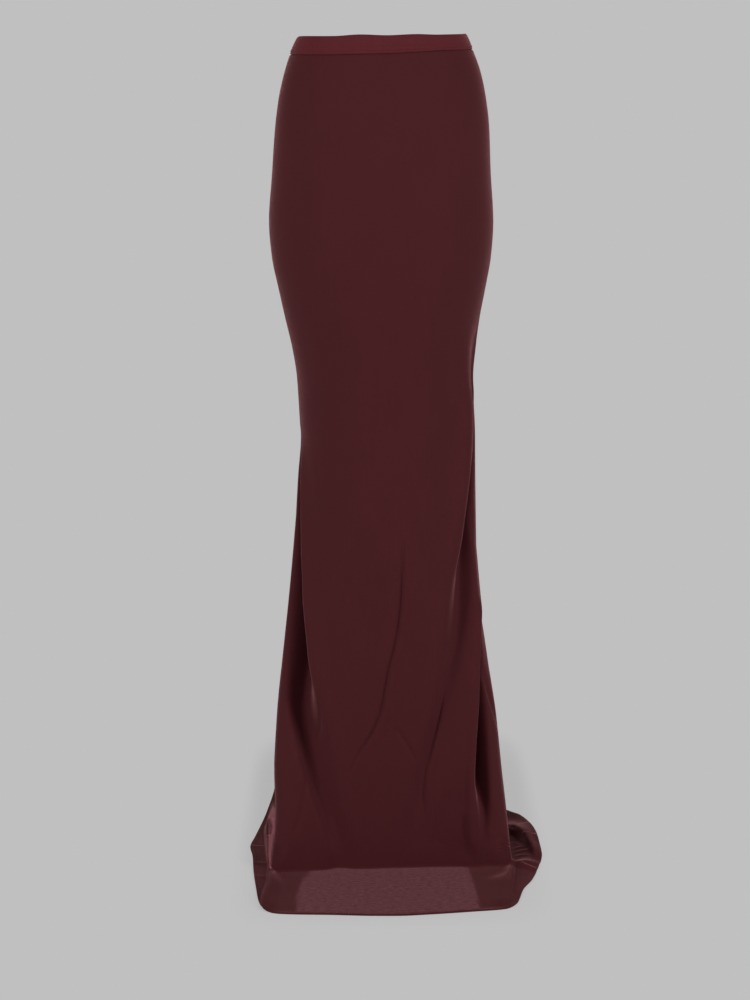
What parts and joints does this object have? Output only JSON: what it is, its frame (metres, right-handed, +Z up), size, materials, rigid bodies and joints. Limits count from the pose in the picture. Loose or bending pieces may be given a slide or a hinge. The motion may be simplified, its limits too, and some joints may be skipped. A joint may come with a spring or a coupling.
{
  "type": "maxi skirt with waistband",
  "caption": "Floor-length knit skirt, slim to the knee and flared below, with a narrow waistband and cloth spread on the floor round its hem.",
  "frame": {"origin": "middle of the waist, level with the top edge of the waistband", "axes": "+Z up out of the waist, -Y out of the front panel, +X to the right as seen from the front; the floor is at Z = -1.155 m"},
  "size_m": [0.4236, 0.69, 1.1568],
  "materials": {
    "panel_jersey": "fine matt burgundy jersey with a soft sheen at grazing angles",
    "band_jersey": "burgundy jersey stretched over elastic, slightly redder and smoother than the panels"
  },
  "bodies": {
    "root": {"waistband": "band_jersey", "front_panel": "panel_jersey", "back_panel": "panel_jersey"}
  },
  "joints": []
}
